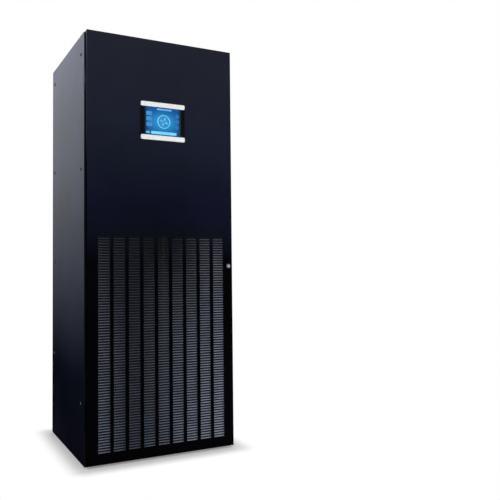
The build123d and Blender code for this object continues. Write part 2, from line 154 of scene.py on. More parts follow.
# %% [markdown]
# The studio is a pale floor that runs into a white surround. A curved paper sweep would do, but a flat
# disc is lighter to render: close to the cabinet's base it is pale paint that takes the shadow, and a
# hand's width further out it turns into the same even white as the surround, so no horizon shows.

# %% Studio floor and surround
floor_radius, floor_level = 14.0, -0.001
base_half, shadow_reach = (0.350, 0.330, 0.0), 0.10
floor = primitive(bpy.ops.mesh.primitive_circle_add, vertices=96, radius=floor_radius,
                  fill_type="NGON", location=(0, 0, floor_level))
floor.name = "studio_floor"

paper = bpy.data.materials.new("studio_paper")
paper.use_nodes = True
tree = paper.node_tree
tree.nodes.clear()
place = add(tree, "TexCoord").outputs["Object"]
folded = add(tree, "VectorMath", {0: place}, operation="ABSOLUTE").outputs["Vector"]
past = add(tree, "VectorMath", {0: folded, 1: base_half}, operation="SUBTRACT").outputs["Vector"]
beyond = add(tree, "VectorMath", {0: past, 1: (0, 0, 0)}, operation="MAXIMUM").outputs["Vector"]
distance = add(tree, "VectorMath", {0: beyond}, operation="LENGTH").outputs["Value"]
seen = sight_rays(tree)
fibre = add(tree, "TexNoise", {"Vector": place, "Scale": 3.0, "Detail": 4.0}).outputs["Fac"]
tint = blend_colour(tree, fibre, (0.93, 0.93, 0.94, 1), (0.97, 0.97, 0.97, 1))
near = add(tree, "BsdfDiffuse", {"Color": tint}).outputs[0]
far = add(tree, "Emission", {"Color": (1, 1, 1, 1), "Strength": 1.0}).outputs[0]
fade = maths(tree, "MULTIPLY", ramp(tree, distance, 0.0, shadow_reach, 0.2, 1.0), seen)
sweep = add(tree, "MixShader", {0: fade, 1: near, 2: far}).outputs[0]
add(tree, "OutputMaterial", {"Surface": sweep})
floor.data.materials.append(paper)

world = bpy.data.worlds.new("studio_surround")
world.use_nodes = True
scene.world = world
tree = world.node_tree
tree.nodes.clear()
seen = sight_rays(tree)
level = ramp(tree, seen, 0.0, 1.0, 0.45, 1.0)
add(tree, "OutputWorld", {"Surface": add(tree, "Background", {
    "Color": (1, 1, 1, 1), "Strength": level}).outputs[0]})

# %% [markdown]
# Two lamps stand in front, a wide one high on the left and a smaller one low on the right, and a wide
# one stands behind. Point lamps would draw hard spots on black gloss; areas only lift it. The right lamp
# is low, so it grazes the slats of the grille; their lower right part is also painted paler as painted
# light.


# %% Lamps
def soft_lamp(name, place, target, size, watts):
    """Square area lamp that faces a point and isn't seen itself."""
    data = bpy.data.lights.new(name, "AREA")
    data.shape, data.size, data.energy = "SQUARE", size, watts
    lamp = bpy.data.objects.new(name, data)
    scene.collection.objects.link(lamp)
    lamp.location = place
    lamp.rotation_euler = (Vector(target) - Vector(place)).to_track_quat("-Z", "Y").to_euler()
    lamp.visible_camera = False


soft_lamp("lamp_high_left", (-2.6, -3.4, 3.6), (0, 0, 1.0), 2.4, 60)
soft_lamp("lamp_low_right", (1.5, -1.5, 0.2), (0.25, -0.3, 0.35), 0.8, 18)
soft_lamp("lamp_rear", (1.5, 3.6, 2.8), (0, 0, 1.0), 2.4, 32)

# %% [markdown]
# Finishes come in families, so the marks that several share are made once as node groups.
# Powder coat has a faint orange-peel skin, and large sheets are never quite flat, so what they mirror
# sways a little. A waved normal shows both better than any colour could.
# Dust lies on what faces up and gathers near the floor. A fold line of bare sheet shows long drawn
# grain. Each group gets the point on the object and a few amounts, and gives back a normal or a mask.

# %% Group: skin of powder coat
tree, given, result = new_group(
    "powder_skin", [("Point", "Vector", None), ("Size", "Float", 300.0), ("Depth", "Float", 0.1)],
    [("Normal", "Vector"), ("Mottle", "Float")])
fine = add(tree, "TexNoise", {"Vector": given["Point"], "Scale": given["Size"], "Detail": 2.0})
broad = add(tree, "TexNoise", {"Vector": given["Point"], "Scale": 2.4, "Detail": 3.0})
sway = add(tree, "TexNoise", {"Vector": given["Point"], "Scale": 3.2, "Detail": 0.0})
swayed = add(tree, "Bump", {"Height": sway.outputs["Fac"], "Strength": 0.5, "Distance": 0.003})
bump = add(tree, "Bump", {"Height": fine.outputs["Fac"], "Strength": given["Depth"],
                          "Distance": 0.0004, "Normal": swayed.outputs["Normal"]})
tree.links.new(bump.outputs["Normal"], result["Normal"])
tree.links.new(broad.outputs["Fac"], result["Mottle"])

# %% Group: dust and handling marks
tree, given, result = new_group(
    "settled_dust", [("Point", "Vector", None), ("Amount", "Float", 0.3), ("Foot", "Float", 0.15)],
    [("Dust", "Float"), ("Rub", "Float")])
up = add(tree, "SeparateXYZ", {0: add(tree, "NewGeometry").outputs["Normal"]}).outputs["Z"]
height = add(tree, "SeparateXYZ", {0: given["Point"]}).outputs["Z"]
cloud = add(tree, "TexNoise", {"Vector": given["Point"], "Scale": 14.0, "Detail": 6.0,
                               "Roughness": 0.65}).outputs["Fac"]
grit = add(tree, "TexNoise", {"Vector": given["Point"], "Scale": 900.0, "Detail": 1.0}).outputs["Fac"]
flat = maths(tree, "MULTIPLY", ramp(tree, up, 0.55, 0.95), given["Amount"])
low = maths(tree, "MULTIPLY", ramp(tree, height, 0.16, 0.0), given["Foot"])
patchy = maths(tree, "MULTIPLY", ramp(tree, cloud, 0.35, 0.7), ramp(tree, grit, 0.3, 0.7, 0.5, 1.0))
dust = maths(tree, "MULTIPLY", maths(tree, "ADD", flat, low), patchy, clamp=True)
tree.links.new(dust, result["Dust"])
stroke = add(tree, "Mapping", {"Vector": given["Point"], "Rotation": (0.5, 0.3, 0.2),
                               "Scale": (260.0, 260.0, 14.0)}).outputs[0]
line = add(tree, "TexNoise", {"Vector": stroke, "Scale": 1.0, "Detail": 2.0}).outputs["Fac"]
tree.links.new(ramp(tree, line, 0.68, 0.78), result["Rub"])

# %% Group: drawn grain of bare sheet
tree, given, result = new_group(
    "drawn_grain", [("Point", "Vector", None), ("Along", "Vector", (1, 1, 60)),
                    ("Depth", "Float", 0.15)],
    [("Grain", "Float"), ("Normal", "Vector")])
stretched = add(tree, "VectorMath", {0: given["Point"], 1: given["Along"]},
                operation="MULTIPLY").outputs["Vector"]
hair = add(tree, "TexNoise", {"Vector": stretched, "Scale": 24.0, "Detail": 5.0,
                              "Roughness": 0.7}).outputs["Fac"]
bump = add(tree, "Bump", {"Height": hair, "Strength": given["Depth"], "Distance": 0.0002})
tree.links.new(hair, result["Grain"])
tree.links.new(bump.outputs["Normal"], result["Normal"])


# %% [markdown]
# Every finish starts from the same few nodes: the point on the object, the surface shader and the
# output. A material's constants go straight onto the shader's own sockets.


# %% Helper for materials
def new_finish(name, **constants):
    """Material with a Principled surface; gives its tree, the object point and the shader's inputs."""
    material = bpy.data.materials.new(name)
    material.use_nodes = True
    tree = material.node_tree
    tree.nodes.clear()
    surface = add(tree, "BsdfPrincipled")
    add(tree, "OutputMaterial", {"Surface": surface.outputs[0]})
    for label, value in constants.items():
        surface.inputs[label.replace("_", " ")].default_value = value
    return material, tree, add(tree, "TexCoord").outputs["Object"], surface.inputs


def use_group(tree, name, point, **values):
    """A group placed in a material, with its own amounts."""
    node = tree.nodes.new("ShaderNodeGroup")
    node.node_tree = bpy.data.node_groups[name]
    tree.links.new(point, node.inputs["Point"])
    for label, value in values.items():
        node.inputs[label].default_value = value
    return node.outputs


finishes = {}

# %% [markdown]
# The door and the side panels carry a deep blue-black gloss. In the photograph the gloss is strong near
# the top and dies away towards the foot. A clear coat does part of it: its weight falls with height, and
# what it mirrors stays real. The rest is painted light and reflection in the base colour, which is lighter
# towards the top and darker towards the foot. The door's folded edges are matt. A painted highlight makes
# them grey near the top, and painted shade makes them black lower down and next to the gap, so a mask
# finds what faces sideways.


# %% Gloss powder coat on the door and the cabinet
def height_ramp(tree, height, tone_and_light_stops):
    """Colour by height: the paint's tone with painted light and shade; each stop is a height in metres with
    its colour.
    """
    top = tone_and_light_stops[-1][0]
    node = add(tree, "ValToRGB", {0: maths(tree, "DIVIDE", height, top)})
    bar = node.color_ramp.elements
    for _ in tone_and_light_stops[2:]:
        bar.new(1.0)
    for stop, (level, tone) in zip(bar, tone_and_light_stops):
        stop.position, stop.color = level / top, tone
    return node.outputs["Color"]


def gloss_coat(name, tone_and_light_stops, coat_top, fade_low, fade_high, roughness, edge_light_and_shade_stops=None):
    """Blue-black coat whose gloss grows with height and whose colour is painted lighter to the top; the
    edge colours paint light and shade on the folds.
    """
    material, tree, point, surface = new_finish(
        name, Coat_Roughness=roughness, Coat_IOR=1.5, Specular_IOR_Level=0.0)
    skin = use_group(tree, "powder_skin", point, Size=420.0, Depth=0.06)
    wear = use_group(tree, "settled_dust", point, Amount=0.35, Foot=0.02)
    place = add(tree, "SeparateXYZ", {0: point}).outputs
    height = place["Z"]
    rise = ramp(tree, height, fade_low, fade_high)
    # The base colour by height is the paint's blue-black with painted light and reflection: lighter towards
    # the top, darker towards the foot.
    paint = height_ramp(tree, height, tone_and_light_stops)
    darker = blend_colour(tree, 0.35, paint, (0.0, 0.0, 0.0, 1.0))
    mottled = blend_colour(tree, ramp(tree, skin["Mottle"], 0.3, 0.7), darker, paint)
    rubbed = maths(tree, "MULTIPLY", wear["Rub"], 0.05)
    weight = maths(tree, "SUBTRACT", maths(tree, "MULTIPLY", rise, coat_top), rubbed, clamp=True)
    if edge_light_and_shade_stops:
        facing = add(tree, "SeparateXYZ", {0: add(tree, "NewGeometry").outputs["Normal"]}).outputs["X"]
        matt = ramp(tree, maths(tree, "ABSOLUTE", facing), 0.8, 0.97, 0.0, 0.95)
        # Painted highlight near the top and painted shade lower down on the sideways folds, and painted
        # shade at their rear next to the gap.
        fold = blend_colour(tree, ramp(tree, place["Y"], -0.315, -0.308),
                            height_ramp(tree, height, edge_light_and_shade_stops), edge_light_and_shade_stops[0][1])
        mottled = blend_colour(tree, matt, mottled, fold)
        weight = maths(tree, "MULTIPLY", weight, maths(tree, "SUBTRACT", 1.0, matt))
    dusty = blend_colour(tree, maths(tree, "MULTIPLY", wear["Dust"], 0.35), mottled,
                         (0.16, 0.16, 0.165, 1))
    tree.links.new(dusty, surface["Base Color"])
    tree.links.new(ramp(tree, skin["Mottle"], 0.3, 0.7, 0.42, 0.5), surface["Roughness"])
    tree.links.new(weight, surface["Coat Weight"])
    tree.links.new(skin["Normal"], surface["Normal"])
    finishes[name] = material


# The stops paint light and reflection into the colour, lighter towards the top and darker towards the foot;
# the door's edge stops paint a highlight near the top of its folds and shade lower down.
gloss_coat("door_black", ((0.0, colour(6, 6, 9)), (0.86, colour(7, 7, 11)),
                          (0.98, colour(17, 20, 32)), (1.1, colour(18, 21, 41)),
                          (1.4, colour(21, 26, 44)), (1.85, colour(28, 33, 49))),
           0.2, 0.9, 1.75, 0.16,
           ((0.0, colour(4, 4, 5)), (1.28, colour(4, 4, 6)), (1.42, colour(46, 48, 55)),
            (1.72, colour(58, 60, 68)), (1.85, colour(90, 92, 103))))
gloss_coat("cabinet_black", ((0.0, colour(22, 23, 34)), (0.35, colour(19, 23, 37)),
                             (1.0, colour(37, 47, 71)), (1.5, colour(52, 63, 90)),
                             (1.85, colour(90, 101, 132))),
           0.6, 0.3, 1.9, 0.22)

# %% [markdown]
# Frame members and rails are sprayed in a duller satin. It hides finger marks, so only its mottle and
# some dust on upward faces tell it from plain black.


# %% Satin powder coat
def satin_coat(name, base, roughness, skin_depth):
    """Dull coat with mottle and dust."""
    material, tree, point, surface = new_finish(name, Specular_IOR_Level=0.15)
    skin = use_group(tree, "powder_skin", point, Size=520.0, Depth=skin_depth)
    wear = use_group(tree, "settled_dust", point, Amount=0.45, Foot=0.12)
    lighter = tuple(min(1.0, v * 1.6) for v in base[:3]) + (1.0,)
    paint = blend_colour(tree, ramp(tree, skin["Mottle"], 0.3, 0.7), base, lighter)
    laid = maths(tree, "MULTIPLY", wear["Dust"], 0.4)
    tree.links.new(blend_colour(tree, laid, paint, (0.2, 0.205, 0.22, 1)), surface["Base Color"])
    rough = maths(tree, "ADD", ramp(tree, skin["Mottle"], 0.3, 0.7, roughness - 0.05, roughness + 0.05),
                  maths(tree, "MULTIPLY", wear["Rub"], -0.08))
    tree.links.new(rough, surface["Roughness"])
    tree.links.new(skin["Normal"], surface["Normal"])
    finishes[name] = material


satin_coat("frame_black", colour(13, 13, 15), 0.5, 0.12)

# %% [markdown]
# Each slat of the grille has an upright land, which stays dark, and a lip that slopes up to the rear.
# The lips read as fine pale lines: partly the dust that the air brings, and partly a painted highlight,
# since they face the lamps. A mask from the surface's own slope finds them. How pale lands and lips are
# is painted light that depends on the place: they are palest at the lower right, a little paler again at
# the far left, and a painted shade makes them nearly black at the top of the middle columns.

# %% Slats of the grille
material, tree, point, surface = new_finish("louvre_black", Specular_IOR_Level=0.06)
skin = use_group(tree, "powder_skin", point, Size=520.0, Depth=0.06)
axes = add(tree, "SeparateXYZ", {0: point}).outputs
slope = add(tree, "SeparateXYZ", {0: add(tree, "NewGeometry").outputs["Normal"]}).outputs["Z"]
lip = ramp(tree, slope, 0.3, 0.8)
across = ramp(tree, axes["X"], -0.17, 0.30, 0.15, 1.0)
edge = ramp(tree, axes["X"], -0.31, -0.15, 0.46, 0.0)
early = maths(tree, "MULTIPLY", ramp(tree, axes["X"], 0.0, 0.26),
              ramp(tree, axes["Z"], 1.03, 0.76, 0.5, 0.86))
down = maths(tree, "MAXIMUM", ramp(tree, axes["Z"], 1.0, 0.45, 0.3, 0.86), early)
middle = ramp(tree, maths(tree, "ABSOLUTE", maths(tree, "SUBTRACT", axes["X"], 0.01)), 0.17, 0.02)
# Painted shade: the top of the middle columns is darkened nearly to black.
shaded = maths(tree, "MULTIPLY", middle, ramp(tree, axes["Z"], 0.7, 1.0, 0.0, 0.75))
patch = add(tree, "TexNoise", {"Vector": point, "Scale": 16.0, "Detail": 6.0}).outputs["Fac"]
# Painted light by place: lands and lips are paler towards the lower right and the far left, with a little
# random unevenness.
painted_light_by_place = maths(tree, "MULTIPLY", maths(tree, "ADD", across, edge), down)
painted_light_by_place = maths(tree, "MULTIPLY", painted_light_by_place, ramp(tree, patch, 0.3, 0.7, 0.75, 1.0), clamp=True)
land = blend_colour(tree, painted_light_by_place, colour(9, 10, 15), colour(26, 28, 35))
# The lips' pale colour is partly dust and partly a painted highlight where they face the lamps.
pale = blend_colour(tree, painted_light_by_place, colour(58, 65, 82), colour(196, 206, 226))
slatted = blend_colour(tree, lip, land, pale)
tree.links.new(blend_colour(tree, shaded, slatted, colour(3, 3, 5)), surface["Base Color"])
tree.links.new(ramp(tree, patch, 0.3, 0.7, 0.36, 0.5), surface["Roughness"])
tree.links.new(skin["Normal"], surface["Normal"])
finishes["louvre_black"] = material

# %% [markdown]
# Galvanised sheet shows spangle: crystals of zinc, each with its own grey. A cell pattern gives one
# value per crystal, which shifts both the colour and the roughness.

# %% Galvanised sheet
material, tree, point, surface = new_finish("galvanised", Metallic=1.0)
crystal = add(tree, "TexVoronoi", {"Vector": point, "Scale": 85.0}).outputs["Color"]
shade = add(tree, "SeparateColor", {0: crystal}).outputs[0]
grain = use_group(tree, "drawn_grain", point, Depth=0.06)
wear = use_group(tree, "settled_dust", point, Amount=0.6, Foot=0.1)
zinc = blend_colour(tree, shade, colour(150, 154, 157), colour(178, 181, 183))
tree.links.new(blend_colour(tree, maths(tree, "MULTIPLY", wear["Dust"], 0.5), zinc,
                            (0.32, 0.31, 0.3, 1)), surface["Base Color"])
tree.links.new(ramp(tree, shade, 0.0, 1.0, 0.32, 0.52), surface["Roughness"])
tree.links.new(grain["Normal"], surface["Normal"])
finishes["galvanised"] = material


# %% [markdown]
# Plated and rolled metals differ by grain direction and tint. Zinc plate has a faint straw cast, and
# the fan wheel is rolled aluminium.


# %% Plated and rolled metals
def bright_metal(name, dark, light, along, smooth, rough):
    """Metal with a drawn grain; the roughness follows the grain."""
    material, tree, point, surface = new_finish(name, Metallic=1.0)
    grain = use_group(tree, "drawn_grain", point, Along=along, Depth=0.12)
    wear = use_group(tree, "settled_dust", point, Amount=0.35, Foot=0.05)
    tone = blend_colour(tree, grain["Grain"], dark, light)
    tree.links.new(blend_colour(tree, maths(tree, "MULTIPLY", wear["Dust"], 0.4), tone,
                                (0.28, 0.27, 0.26, 1)), surface["Base Color"])
    tree.links.new(ramp(tree, grain["Grain"], 0.3, 0.7, smooth, rough), surface["Roughness"])
    tree.links.new(grain["Normal"], surface["Normal"])
    finishes[name] = material


bright_metal("zinc_steel", colour(176, 174, 164), colour(206, 204, 196), (60, 60, 3), 0.28, 0.42)
bright_metal("aluminium", colour(188, 190, 192), colour(216, 218, 220), (4, 60, 60), 0.3, 0.45)

# %% [markdown]
# The lock is two solids of one slot: a collar pressed into the door and the barrel that turns in it. The
# photograph shows one small bright spot, so the barrel is polished, and the collar is painted dark: black
# chrome, with a painted reflection of the black door round it. The distance to the lock's own axis tells
# them apart, and fine rings show how both were turned.

# %% Lock
material, tree, point, surface = new_finish("lock_chrome", Metallic=1.0)
low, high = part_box("lock_core")
axis = Vector(((low.x + high.x) / 2, 0, (low.z + high.z) / 2))
around = add(tree, "Mapping", {"Vector": point, "Location": -axis, "Scale": (1, 0, 1)}).outputs[0]
reach = add(tree, "VectorMath", {0: around}, operation="LENGTH").outputs["Value"]
collar = ramp(tree, reach, 0.0066, 0.0074)
turned = maths(tree, "SINE", maths(tree, "MULTIPLY", reach, 9000.0))
smear = add(tree, "TexNoise", {"Vector": point, "Scale": 300.0, "Detail": 4.0}).outputs["Fac"]
polished = blend_colour(tree, smear, colour(134, 136, 142), colour(172, 174, 178))
# The collar's dark tone is black chrome with a painted reflection of the black door.
dark_chrome_and_reflection = blend_colour(tree, smear, colour(44, 45, 49), colour(66, 67, 71))
tree.links.new(blend_colour(tree, collar, polished, dark_chrome_and_reflection), surface["Base Color"])
tree.links.new(ramp(tree, smear, 0.3, 0.7, 0.14, 0.26), surface["Roughness"])
tree.links.new(add(tree, "Bump", {"Height": turned, "Strength": 0.15,
                                  "Distance": 0.0002}).outputs["Normal"], surface["Normal"])
finishes["lock_chrome"] = material

# %% [markdown]
# The motor's shell is cast aluminium under grey enamel. A coarse, low bump gives the cast skin.

# %% Motor enamel
material, tree, point, surface = new_finish("motor_grey", Specular_IOR_Level=0.4)
skin = use_group(tree, "powder_skin", point, Size=160.0, Depth=0.3)
wear = use_group(tree, "settled_dust", point, Amount=0.5, Foot=0.0)
enamel = blend_colour(tree, skin["Mottle"], colour(92, 96, 100), colour(112, 116, 120))
tree.links.new(blend_colour(tree, wear["Dust"], enamel, (0.3, 0.29, 0.28, 1)),
               surface["Base Color"])
tree.links.new(ramp(tree, skin["Mottle"], 0.3, 0.7, 0.38, 0.52), surface["Roughness"])
tree.links.new(skin["Normal"], surface["Normal"])
finishes["motor_grey"] = material

# %% [markdown]
# A filter is one solid here, a frame round a pleated pad, but the two differ in looks. The frame is
# smooth card and the pad is matted dark fibre that has gone grey where air was drawn in. A mask from
# the distance to each filter's middle tells them apart.

# %% Filter card and fibre
material, tree, point, surface = new_finish("filter_media", Specular_IOR_Level=0.2)
low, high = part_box("air_filter_right")
across = add(tree, "SeparateXYZ", {0: point}).outputs
side = maths(tree, "ABSOLUTE", across["X"])
off_x = maths(tree, "ABSOLUTE", maths(tree, "SUBTRACT", side, (low.x + high.x) / 2))
off_z = maths(tree, "ABSOLUTE", maths(tree, "SUBTRACT", across["Z"], (low.z + high.z) / 2))
lip = 0.0118
inside = maths(tree, "MULTIPLY",
               maths(tree, "LESS_THAN", off_x, (high.x - low.x) / 2 - lip),
               maths(tree, "LESS_THAN", off_z, (high.z - low.z) / 2 - lip))
mat = add(tree, "TexNoise", {"Vector": point, "Scale": 700.0, "Detail": 6.0, "Roughness": 0.8})
strand = add(tree, "TexVoronoi", {"Vector": point, "Scale": 420.0}, feature="DISTANCE_TO_EDGE")
soot = add(tree, "TexNoise", {"Vector": point, "Scale": 9.0, "Detail": 5.0}).outputs["Fac"]
fibre = blend_colour(tree, mat.outputs["Fac"], colour(44, 46, 50), colour(98, 101, 106))
drawn = blend_colour(tree, ramp(tree, soot, 0.35, 0.75, 0.1, 0.55), fibre, colour(104, 103, 100))
card = blend_colour(tree, soot, colour(88, 86, 82), colour(112, 110, 105))
tree.links.new(blend_colour(tree, inside, card, drawn), surface["Base Color"])
tree.links.new(ramp(tree, mat.outputs["Fac"], 0.2, 0.8, 0.8, 1.0), surface["Roughness"])
tangle = maths(tree, "MULTIPLY", inside, maths(tree, "ADD", mat.outputs["Fac"], strand.outputs["Distance"]))
tree.links.new(add(tree, "Bump", {"Height": tangle, "Strength": 0.5,
                                  "Distance": 0.0008}).outputs["Normal"], surface["Normal"])
finishes["filter_media"] = material


# %% [markdown]
# Seals, grommets and plastic parts are all moulded, so one recipe serves them: a fine grain, a little
# bloom on the surface and some dust. The seal has the deepest grain and the display the finest.


# %% Rubber and plastics
def moulded(name, base, roughness, grain_size, grain_depth, bloom, gloss=0.4):
    """Plastic or rubber with a fine grain and a slight bloom."""
    material, tree, point, surface = new_finish(name, Specular_IOR_Level=gloss)
    skin = use_group(tree, "powder_skin", point, Size=grain_size, Depth=grain_depth)
    wear = use_group(tree, "settled_dust", point, Amount=0.3, Foot=0.1)
    hazed = tuple(min(1.0, v * (1 + bloom) + 0.01 * bloom) for v in base[:3]) + (1.0,)
    tone = blend_colour(tree, ramp(tree, skin["Mottle"], 0.3, 0.75), base, hazed)
    tree.links.new(blend_colour(tree, maths(tree, "MULTIPLY", wear["Dust"], 0.4), tone,
                                (0.3, 0.3, 0.3, 1)), surface["Base Color"])
    tree.links.new(ramp(tree, skin["Mottle"], 0.3, 0.7, roughness - 0.06, roughness + 0.06),
                   surface["Roughness"])
    tree.links.new(skin["Normal"], surface["Normal"])
    finishes[name] = material


moulded("seal_rubber", colour(22, 22, 23), 0.85, 900.0, 0.6, 0.5)
moulded("gland_plastic", colour(34, 35, 37), 0.55, 700.0, 0.3, 0.4)
moulded("housing_plastic", colour(30, 31, 34), 0.6, 800.0, 0.3, 0.3)
moulded("display_white", colour(250, 251, 253), 0.32, 900.0, 0.03, 0.04)
moulded("display_black", colour(5, 6, 9), 0.14, 1200.0, 0.01, 0.2, 0.04)

# %% [markdown]
# The lit screen glows by itself. Its deep blue is brightest a little above the middle and falls off to
# the corners, as on a panel with light fed in from the edges. A faint grid stands for the pixels.

# %% Lit screen
material, tree, point, surface = new_finish(
    "screen_lit", Base_Color=(0.002, 0.004, 0.01, 1), Roughness=0.12, Emission_Strength=1.0,
    Specular_IOR_Level=0.06)
low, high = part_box("display_screen")
centre, half = (low + high) / 2, (high - low) / 2
spot = add(tree, "Mapping", {"Vector": point, "Location": (-centre.x / half.x, 0, -centre.z / half.z),
                             "Scale": (1 / half.x, 0, 1 / half.z)}).outputs[0]
reach = add(tree, "VectorMath", {0: spot}, operation="LENGTH").outputs["Value"]
glow = blend_colour(tree, ramp(tree, reach, 0.1, 1.2), colour(46, 150, 212), colour(12, 84, 150))
rise = add(tree, "SeparateXYZ", {0: spot}).outputs["Z"]
lifted = blend_colour(tree, ramp(tree, rise, 0.1, 1.0, 0.0, 0.45), glow, colour(20, 78, 160))
grid = maths(tree, "SINE", maths(tree, "MULTIPLY", rise, 190.0))
lines = ramp(tree, grid, -1.0, 1.0, 0.0, 0.08)
lined = blend_colour(tree, lines, lifted, colour(4, 30, 80))
outer = maths(tree, "ABSOLUTE", add(tree, "SeparateXYZ", {0: spot}).outputs["X"])
banded = blend_colour(tree, ramp(tree, outer, 0.78, 0.9), lined, colour(22, 62, 94))
tree.links.new(blend_colour(tree, ramp(tree, outer, 0.9, 1.0), banded, colour(10, 22, 34)),
               surface["Emission Color"])
finishes["screen_lit"] = material

# %% [markdown]
# With the finishes ready, each solid takes the one that the record names for its slot.

# %% Give the solids their finishes
for part in frame["record"]["subparts"]:
    solid = nodes[part["node"]]
    solid.data.materials.clear()
    solid.data.materials.append(finishes[part["material_slot"]])
print("finishes", len(finishes))

# %% [markdown]
# Folded sheet is never knife sharp. The solids come as loose triangles, so a weld closes them first and
# a narrow bevel then rounds every real corner and leaves the flat faces alone. Both stay as modifiers.


# %% Soften the corners of folded sheet
def soften(name, width):
    """Welds a solid and rounds its sharp edges, by modifiers only."""
    solid = nodes[name]
    weld = solid.modifiers.new("weld", "WELD")
    weld.merge_threshold = 0.00001
    bevel = solid.modifiers.new("fold", "BEVEL")
    bevel.width, bevel.segments, bevel.limit_method = width, 2, "ANGLE"
    bevel.angle_limit = math.radians(35)
    bevel.harden_normals = True


for name in ("side_panel_left", "side_panel_right", "top_panel", "rear_panel", "service_plate",
             "discharge_collar", "motor_beam"):
    soften(name, 0.0006)
soften("display_housing", 0.0015)

# %% [markdown]
# One screw serves the whole cabinet: a low round head with a cross recess. It starts as a disc whose
# upper rim is bevelled to a dome, and two crossed bars cut the recess. Each place gets its own copy.


# %% Helpers for modelling
def start(piece):
    """Edit mode on one piece, with nothing selected."""
    bpy.ops.object.select_all(action="DESELECT")
    piece.select_set(True)
    bpy.context.view_layer.objects.active = piece
    bpy.ops.object.mode_set(mode="EDIT")
    bpy.ops.mesh.select_mode(type="FACE")
    bpy.ops.mesh.select_all(action="DESELECT")


def pick_faces(piece, wanted):
    """Selects the faces whose normal passes a test."""
    shape = bmesh.from_edit_mesh(piece.data)
    for face in shape.faces:
        face.select_set(bool(wanted(face.normal)))
    bmesh.update_edit_mesh(piece.data)


def pick_edges(piece, wanted):
    """Selects the edges whose two ends pass a test."""
    bpy.ops.mesh.select_mode(type="EDGE")
    shape = bmesh.from_edit_mesh(piece.data)
    for edge in shape.edges:
        edge.select_set(bool(wanted(*(v.co for v in edge.verts))))
    bmesh.update_edit_mesh(piece.data)


def done(piece):
    """Back to object mode, shading smooth up to thirty degrees."""
    bpy.ops.object.mode_set(mode="OBJECT")
    bpy.ops.object.transform_apply(location=True, rotation=True, scale=True)
    bpy.ops.object.shade_smooth_by_angle(angle=math.radians(30.0))
    return piece


def cut_out(piece, cutter):
    """Takes one shape out of another and deletes the cutter."""
    cut = piece.modifiers.new("cut", "BOOLEAN")
    cut.object, cut.operation, cut.solver = cutter, "DIFFERENCE", "EXACT"
    bpy.context.view_layer.objects.active = piece
    bpy.ops.object.modifier_apply(modifier="cut")
    bpy.data.objects.remove(cutter, do_unlink=True)


def copy_to(master, name, place):
    """Copy with its own mesh, moved inside the mesh."""
    twin = master.copy()
    twin.data = master.data.copy()
    twin.name = name
    twin.data.transform(place)
    scene.collection.objects.link(twin)
    return twin


def join(pieces, name):
    """One piece from several."""
    bpy.ops.object.select_all(action="DESELECT")
    for piece in pieces:
        piece.select_set(True)
    bpy.context.view_layer.objects.active = pieces[0]
    bpy.ops.object.join()
    pieces[0].name = name
    return pieces[0]


def dress(piece, body, finish):
    """Rides on a body and takes a finish."""
    piece.data.materials.clear()
    piece.data.materials.append(finishes[finish])
    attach(piece, body)


# %% Model the screw
head_radius, head_height = 0.005, 0.0016
recess_size = (0.0052, 0.0011, 0.0018)
screw = primitive(bpy.ops.mesh.primitive_cylinder_add, vertices=24, radius=head_radius,
                  depth=head_height, location=(0, 0, head_height / 2))
screw.name = "screw_master"
start(screw)
pick_edges(screw, lambda a, b: min(a.z, b.z) > head_height * 0.9)
bpy.ops.mesh.bevel(offset=head_height * 0.75, segments=3, profile=0.6, affect="EDGES")
done(screw)
for turn in (0.0, math.pi / 2):
    cutter = primitive(bpy.ops.mesh.primitive_cube_add, size=1.0, location=(0, 0, head_height),
                       rotation=(0, 0, turn), scale=recess_size)
    start(cutter)
    pick_faces(cutter, lambda normal: normal.z < -0.9)
    bpy.ops.transform.resize(value=(0.6, 0.6, 1.0))
    done(cutter)
    cut_out(screw, cutter)
print("screw", len(screw.data.polygons), "faces")

# %% [markdown]
# Sheet panels are held along their edges at even steps. Each row of places is written as it would be on
# a drawing, in metres from the cabinet's middle, and the copies of one panel become one piece.

# %% Place the screws
facing = {"front": Matrix.Rotation(math.radians(90), 4, "X"),
          "rear": Matrix.Rotation(math.radians(-90), 4, "X"),
          "left": Matrix.Rotation(math.radians(-90), 4, "Y"),
          "right": Matrix.Rotation(math.radians(90), 4, "Y"),
          "up": Matrix.Identity(4)}


def screw_set(name, places, side, body, slot, width=1.0, height=1.0, head=screw):
    """One piece from a head at each place, turned towards a side; each head is spun differently."""
    copies = []
    for i, place in enumerate(places):
        spin = Matrix.Rotation(math.radians(23 + 67 * i), 4, "Z")
        size = Matrix.Diagonal((width, width, height, 1.0))
        where = Matrix.Translation(place) @ facing[side] @ spin @ size
        copies.append(copy_to(head, name + "_part", where))
    dress(join(copies, name), body, slot)
    return len(places)


front_column, rear_column = -0.242, 0.278
front_rows, rear_rows = (0.256, 0.759, 1.262, 1.765), (0.407, 0.864, 1.320, 1.777)
count = 0
for side, x in (("left", -0.350), ("right", 0.350)):
    places = [(x, front_column, z) for z in front_rows] + [(x, rear_column, z) for z in rear_rows]
    count += screw_set("side_screws_" + side, places, side, "cabinet", "frame_black", 1.5, 1.0)
rear_places = [(x, 0.325, z) for x in (-0.318, 0.318) for z in (0.325, 0.70, 1.075, 1.45, 1.825)]
rear_places += [(x, 0.325, z) for x in (-0.11, 0.11) for z in (0.325, 1.825)]
count += screw_set("rear_screws", rear_places, "rear", "cabinet", "frame_black")
plate_places = [(x, 0.325, z) for x in (-0.318, -0.15, 0.15, 0.318) for z in (0.028, 0.276)]
count += screw_set("service_screws", plate_places, "rear", "cabinet", "frame_black")
top_places = [(x, y, 1.850) for x in (-0.332, 0.332) for y in (-0.275, -0.08, 0.11, 0.30)]
count += screw_set("top_screws", top_places, "up", "cabinet", "frame_black")
cover_places = [(x, -0.295, z) for x in (-0.284, 0.284) for z in (1.03, 1.28, 1.53, 1.785)]
